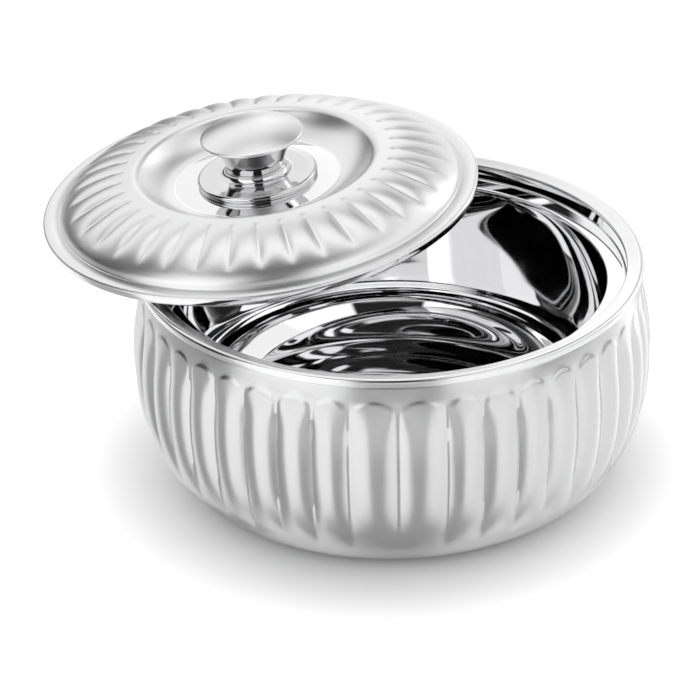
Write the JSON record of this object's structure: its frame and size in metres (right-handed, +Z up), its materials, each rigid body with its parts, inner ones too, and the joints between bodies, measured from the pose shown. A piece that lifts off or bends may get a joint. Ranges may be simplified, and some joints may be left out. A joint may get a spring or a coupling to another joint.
{
  "type": "insulated casserole",
  "caption": "Round double-walled steel casserole with a fluted, foam-insulated bowl and a loose insulated lid with a knob, lid ajar.",
  "frame": {"origin": "centre of the foot ring, on the table", "axes": "+Z up along the bowl's axis, -Y towards the viewer of the picture, +X to the viewer's right"},
  "size_m": [0.2935, 0.2722, 0.1635],
  "materials": {
    "satin_steel": "satin",
    "mirror_steel": "polished",
    "foam": "matte",
    "grey_plastic": "matte"
  },
  "bodies": {
    "bowl": {"outer_shell": "satin_steel", "inner_bowl": "mirror_steel", "rim_ring": "satin_steel", "bowl_insulation": "foam", "base_plate": "satin_steel", "base_fill_plug": "grey_plastic"},
    "lid": {"lid_cover": "satin_steel", "lid_liner": "mirror_steel", "lid_insulation": "foam", "lid_fill_plug": "grey_plastic", "knob_base": "mirror_steel", "knob_body": "mirror_steel", "knob_cap": "satin_steel", "knob_stud": "satin_steel", "knob_washer": "satin_steel", "knob_nut": "satin_steel"}
  },
  "joints": [
    {"name": "lid_lift", "type": "slide", "parent": "bowl", "child": "lid", "axis": [0, 0, 1], "range_m": [0, 0.15]}
  ]
}
